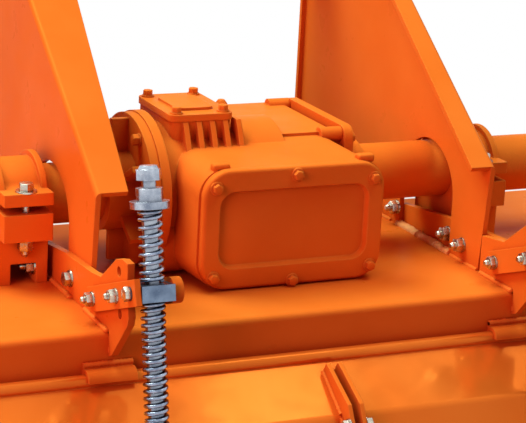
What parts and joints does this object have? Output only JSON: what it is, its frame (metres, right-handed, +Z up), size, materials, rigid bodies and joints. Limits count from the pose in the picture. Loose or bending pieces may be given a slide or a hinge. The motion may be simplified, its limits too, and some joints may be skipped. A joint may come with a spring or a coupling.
{
  "type": "tractor-mounted rotavator",
  "caption": "Orange tractor-mounted rotavator with a geared rotor of bent blades under a steel hood, a sprung trailing board and a plate mast for a three-point hitch.",
  "frame": {"origin": "on the ground under the middle of the machine's box", "axes": "+X to the machine's right, +Y forwards to the tractor, +Z up"},
  "size_m": [1.656, 1.0673, 1.102],
  "materials": {
    "orange_paint": "gloss",
    "orange_casting": "satin",
    "zinc": "satin",
    "bare_steel": "satin",
    "blade_steel": "satin"
  },
  "bodies": {
    "frame": {"bearing_hub": "orange_casting", "clamp_cradle_left": "orange_casting", "clamp_cradle_right": "orange_casting", "clamp_saddle_left": "orange_casting", "clamp_saddle_right": "orange_casting", "deck_bracket_left": "orange_paint", "deck_bracket_right": "orange_paint", "frame_tube_left": "orange_paint", "frame_tube_right": "orange_paint", "gearbox": "orange_casting", "gearbox_lid": "orange_casting", "gearbox_rear_cover": "orange_casting", "hinge_sleeves": "orange_paint", "hood": "orange_paint", "lower_link_pin_left": "zinc", "lower_link_pin_right": "zinc", "mast_plate_left": "orange_paint", "mast_plate_right": "orange_paint", "side_gear_case": "orange_casting", "side_plate_left": "orange_paint", "side_plate_right": "orange_paint", "skid_left": "orange_paint", "skid_right": "orange_paint", "spring_arm_left": "orange_paint", "spring_arm_right": "orange_paint", "top_link_beam": "orange_paint", "tube_carrier_left": "orange_casting", "tube_carrier_right": "orange_casting"},
    "rotor": {"rotor_tube": "orange_paint", "blade_gang_1": "blade_steel", "blade_gang_2": "blade_steel", "blade_gang_3": "blade_steel", "blade_gang_4": "blade_steel", "blade_gang_5": "blade_steel", "blade_gang_6": "blade_steel"},
    "input": {"input_shaft": "bare_steel"},
    "board": {"board_lug_left": "orange_paint", "board_lug_right": "orange_paint", "board_ribs": "orange_paint", "trailing_board": "orange_paint"},
    "swivel_left": {"swivel_block_left": "zinc", "upper_spring_left": "zinc"},
    "rod_left": {"spring_rod_left": "zinc", "lower_spring_left": "zinc"},
    "swivel_right": {"swivel_block_right": "zinc", "upper_spring_right": "zinc"},
    "rod_right": {"spring_rod_right": "zinc", "lower_spring_right": "zinc"}
  },
  "joints": [
    {"name": "rotor_spin", "type": "hinge", "parent": "frame", "child": "rotor", "pos_m": [0, -0.12134, 0.262], "axis": [1, 0, 0], "continuous": true},
    {"name": "input_spin", "type": "hinge", "parent": "frame", "child": "input", "pos_m": [0.058, 0.17066, 0.662], "axis": [0, 1, 0], "continuous": true},
    {"name": "board_hinge", "type": "hinge", "parent": "frame", "child": "board", "pos_m": [0, -0.29284, 0.507], "axis": [-1, 0, 0], "range_deg": [0, 25]},
    {"name": "swivel_left", "type": "hinge", "parent": "frame", "child": "swivel_left", "pos_m": [-0.3015, -0.37254, 0.6535], "axis": [-1, 0, 0], "range_deg": [0, 9.77]},
    {"name": "rod_slide_left", "type": "slide", "parent": "swivel_left", "child": "rod_left", "axis": [0, 0.1874, 0.9823], "range_m": [0, 0.0512], "deforming": ["lower_spring_left"]},
    {"name": "swivel_right", "type": "hinge", "parent": "frame", "child": "swivel_right", "pos_m": [0.3285, -0.37254, 0.6535], "axis": [-1, 0, 0], "range_deg": [0, 9.77]},
    {"name": "rod_slide_right", "type": "slide", "parent": "swivel_right", "child": "rod_right", "axis": [0, 0.1874, 0.9823], "range_m": [0, 0.0512], "deforming": ["lower_spring_right"]}
  ],
  "couplings": [
    {"joint": "input_spin", "follows": "rotor_spin", "ratio": 2.6},
    {"joint": "swivel_left", "follows": "board_hinge", "ratio": 0.38297},
    {"joint": "rod_slide_left", "follows": "board_hinge", "m_per_rad": 0.11627},
    {"joint": "swivel_right", "follows": "board_hinge", "ratio": 0.38297},
    {"joint": "rod_slide_right", "follows": "board_hinge", "m_per_rad": 0.11627}
  ]
}
